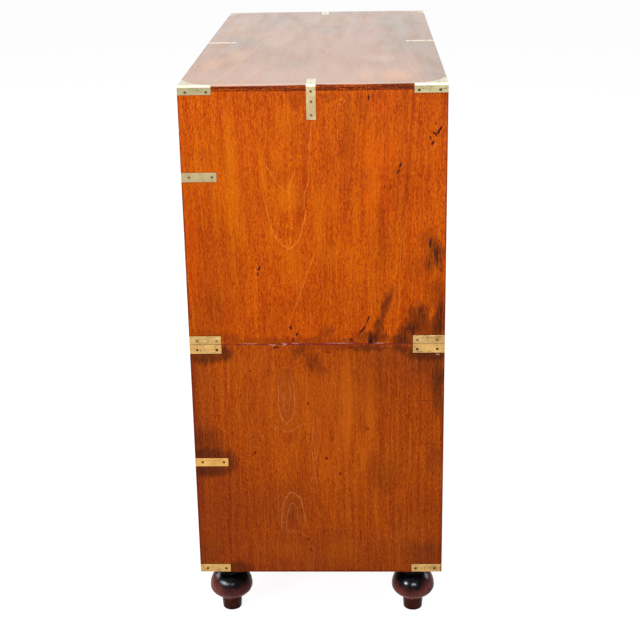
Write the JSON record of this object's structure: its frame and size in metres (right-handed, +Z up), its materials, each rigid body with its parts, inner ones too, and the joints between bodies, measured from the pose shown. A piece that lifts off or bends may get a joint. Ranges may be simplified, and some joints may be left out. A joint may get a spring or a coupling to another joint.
{
  "type": "campaign chest",
  "caption": "Two-part brass-bound campaign chest of drawers: two stacked cases, flush brass corners and swinging pulls, locks and turned screw-in feet.",
  "frame": {"origin": "on the floor under the middle of the chest, below the four feet", "axes": "+Z up, the drawer fronts face -Y, +X to the right as one faces the fronts"},
  "size_m": [1.026, 0.457, 1.0298],
  "materials": {
    "case_wood": "polished reddish-brown hardwood, old shellac",
    "drawer_wood": "plain planed hardwood, unpolished",
    "foot_wood": "turned and polished near-black hardwood",
    "brass": "old brass, hand rubbed",
    "brass_screw": "darkened brass screws"
  },
  "bodies": {
    "lower_case": {"lower_side_left": "case_wood", "lower_side_right": "case_wood", "lower_top": "case_wood", "lower_bottom": "case_wood", "lower_back": "case_wood", "lower_drawer_rail": "case_wood", "lower_runners_and_stops": "drawer_wood", "lower_corner_brackets": "brass", "lower_edge_straps": "brass", "lower_bracket_screws": "brass_screw"},
    "upper_case": {"upper_side_left": "case_wood", "upper_side_right": "case_wood", "upper_top": "case_wood", "upper_bottom": "case_wood", "upper_back": "case_wood", "upper_drawer_rail": "case_wood", "upper_drawer_divider": "case_wood", "upper_runners_and_stops": "drawer_wood", "locating_pegs": "drawer_wood", "top_corner_brackets": "brass", "upper_seam_brackets": "brass", "upper_edge_straps": "brass", "upper_bracket_screws": "brass_screw"},
    "foot_front_left": {"foot_front_left": "foot_wood"},
    "foot_front_right": {"foot_front_right": "foot_wood"},
    "foot_back_left": {"foot_back_left": "foot_wood"},
    "foot_back_right": {"foot_back_right": "foot_wood"},
    "left_short_drawer": {"left_short_drawer_front": "case_wood", "left_short_drawer_sides_and_back": "drawer_wood", "left_short_drawer_bottom": "drawer_wood", "left_short_drawer_brasses": "brass"},
    "left_short_drawer_lock_bolt": {"left_short_drawer_lock_bolt": "brass"},
    "left_short_drawer_pull": {"left_short_drawer_pull": "brass"},
    "right_short_drawer": {"right_short_drawer_front": "case_wood", "right_short_drawer_sides_and_back": "drawer_wood", "right_short_drawer_bottom": "drawer_wood", "right_short_drawer_brasses": "brass"},
    "right_short_drawer_lock_bolt": {"right_short_drawer_lock_bolt": "brass"},
    "right_short_drawer_pull": {"right_short_drawer_pull": "brass"},
    "deep_drawer": {"deep_drawer_front": "case_wood", "deep_drawer_sides_and_back": "drawer_wood", "deep_drawer_bottom": "drawer_wood", "deep_drawer_brasses": "brass"},
    "deep_drawer_lock_bolt": {"deep_drawer_lock_bolt": "brass"},
    "deep_drawer_left_pull": {"deep_drawer_left_pull": "brass"},
    "deep_drawer_right_pull": {"deep_drawer_right_pull": "brass"},
    "upper_long_drawer": {"upper_long_drawer_front": "case_wood", "upper_long_drawer_sides_and_back": "drawer_wood", "upper_long_drawer_bottom": "drawer_wood", "upper_long_drawer_brasses": "brass"},
    "upper_long_drawer_lock_bolt": {"upper_long_drawer_lock_bolt": "brass"},
    "upper_long_drawer_left_pull": {"upper_long_drawer_left_pull": "brass"},
    "upper_long_drawer_right_pull": {"upper_long_drawer_right_pull": "brass"},
    "lower_long_drawer": {"lower_long_drawer_front": "case_wood", "lower_long_drawer_sides_and_back": "drawer_wood", "lower_long_drawer_bottom": "drawer_wood", "lower_long_drawer_brasses": "brass"},
    "lower_long_drawer_lock_bolt": {"lower_long_drawer_lock_bolt": "brass"},
    "lower_long_drawer_left_pull": {"lower_long_drawer_left_pull": "brass"},
    "lower_long_drawer_right_pull": {"lower_long_drawer_right_pull": "brass"}
  },
  "joints": [
    {"name": "upper_case_lift", "type": "slide", "parent": "lower_case", "child": "upper_case", "axis": [0, 0, 1], "range_m": [0, 0.03]},
    {"name": "foot_front_left_unscrew", "type": "slide", "parent": "lower_case", "child": "foot_front_left", "axis": [0, 0, -1], "range_m": [0, 0.02]},
    {"name": "foot_front_right_unscrew", "type": "slide", "parent": "lower_case", "child": "foot_front_right", "axis": [0, 0, -1], "range_m": [0, 0.02]},
    {"name": "foot_back_left_unscrew", "type": "slide", "parent": "lower_case", "child": "foot_back_left", "axis": [0, 0, -1], "range_m": [0, 0.02]},
    {"name": "foot_back_right_unscrew", "type": "slide", "parent": "lower_case", "child": "foot_back_right", "axis": [0, 0, -1], "range_m": [0, 0.02]},
    {"name": "left_short_drawer_slide", "type": "slide", "parent": "upper_case", "child": "left_short_drawer", "axis": [0, -1, 0], "range_m": [0, 0.34]},
    {"name": "left_short_drawer_lock_throw", "type": "slide", "parent": "left_short_drawer", "child": "left_short_drawer_lock_bolt", "axis": [0, 0, 1], "range_m": [0, 0.008]},
    {"name": "left_short_drawer_pull_swing", "type": "hinge", "parent": "left_short_drawer", "child": "left_short_drawer_pull", "pos_m": [-0.252, -0.2253, 0.9538], "axis": [-1, 0, 0], "range_deg": [0, 90]},
    {"name": "right_short_drawer_slide", "type": "slide", "parent": "upper_case", "child": "right_short_drawer", "axis": [0, -1, 0], "range_m": [0, 0.34]},
    {"name": "right_short_drawer_lock_throw", "type": "slide", "parent": "right_short_drawer", "child": "right_short_drawer_lock_bolt", "axis": [0, 0, 1], "range_m": [0, 0.008]},
    {"name": "right_short_drawer_pull_swing", "type": "hinge", "parent": "right_short_drawer", "child": "right_short_drawer_pull", "pos_m": [0.252, -0.2253, 0.9538], "axis": [-1, 0, 0], "range_deg": [0, 90]},
    {"name": "deep_drawer_slide", "type": "slide", "parent": "upper_case", "child": "deep_drawer", "axis": [0, -1, 0], "range_m": [0, 0.34]},
    {"name": "deep_drawer_lock_throw", "type": "slide", "parent": "deep_drawer", "child": "deep_drawer_lock_bolt", "axis": [0, 0, 1], "range_m": [0, 0.008]},
    {"name": "deep_drawer_left_pull_swing", "type": "hinge", "parent": "deep_drawer", "child": "deep_drawer_left_pull", "pos_m": [-0.252, -0.2253, 0.7313], "axis": [-1, 0, 0], "range_deg": [0, 90]},
    {"name": "deep_drawer_right_pull_swing", "type": "hinge", "parent": "deep_drawer", "child": "deep_drawer_right_pull", "pos_m": [0.252, -0.2253, 0.7313], "axis": [-1, 0, 0], "range_deg": [0, 90]},
    {"name": "upper_long_drawer_slide", "type": "slide", "parent": "lower_case", "child": "upper_long_drawer", "axis": [0, -1, 0], "range_m": [0, 0.34]},
    {"name": "upper_long_drawer_lock_throw", "type": "slide", "parent": "upper_long_drawer", "child": "upper_long_drawer_lock_bolt", "axis": [0, 0, 1], "range_m": [0, 0.008]},
    {"name": "upper_long_drawer_left_pull_swing", "type": "hinge", "parent": "upper_long_drawer", "child": "upper_long_drawer_left_pull", "pos_m": [-0.252, -0.2253, 0.453], "axis": [-1, 0, 0], "range_deg": [0, 90]},
    {"name": "upper_long_drawer_right_pull_swing", "type": "hinge", "parent": "upper_long_drawer", "child": "upper_long_drawer_right_pull", "pos_m": [0.252, -0.2253, 0.453], "axis": [-1, 0, 0], "range_deg": [0, 90]},
    {"name": "lower_long_drawer_slide", "type": "slide", "parent": "lower_case", "child": "lower_long_drawer", "axis": [0, -1, 0], "range_m": [0, 0.34]},
    {"name": "lower_long_drawer_lock_throw", "type": "slide", "parent": "lower_long_drawer", "child": "lower_long_drawer_lock_bolt", "axis": [0, 0, 1], "range_m": [0, 0.008]},
    {"name": "lower_long_drawer_left_pull_swing", "type": "hinge", "parent": "lower_long_drawer", "child": "lower_long_drawer_left_pull", "pos_m": [-0.252, -0.2253, 0.2315], "axis": [-1, 0, 0], "range_deg": [0, 90]},
    {"name": "lower_long_drawer_right_pull_swing", "type": "hinge", "parent": "lower_long_drawer", "child": "lower_long_drawer_right_pull", "pos_m": [0.252, -0.2253, 0.2315], "axis": [-1, 0, 0], "range_deg": [0, 90]}
  ]
}
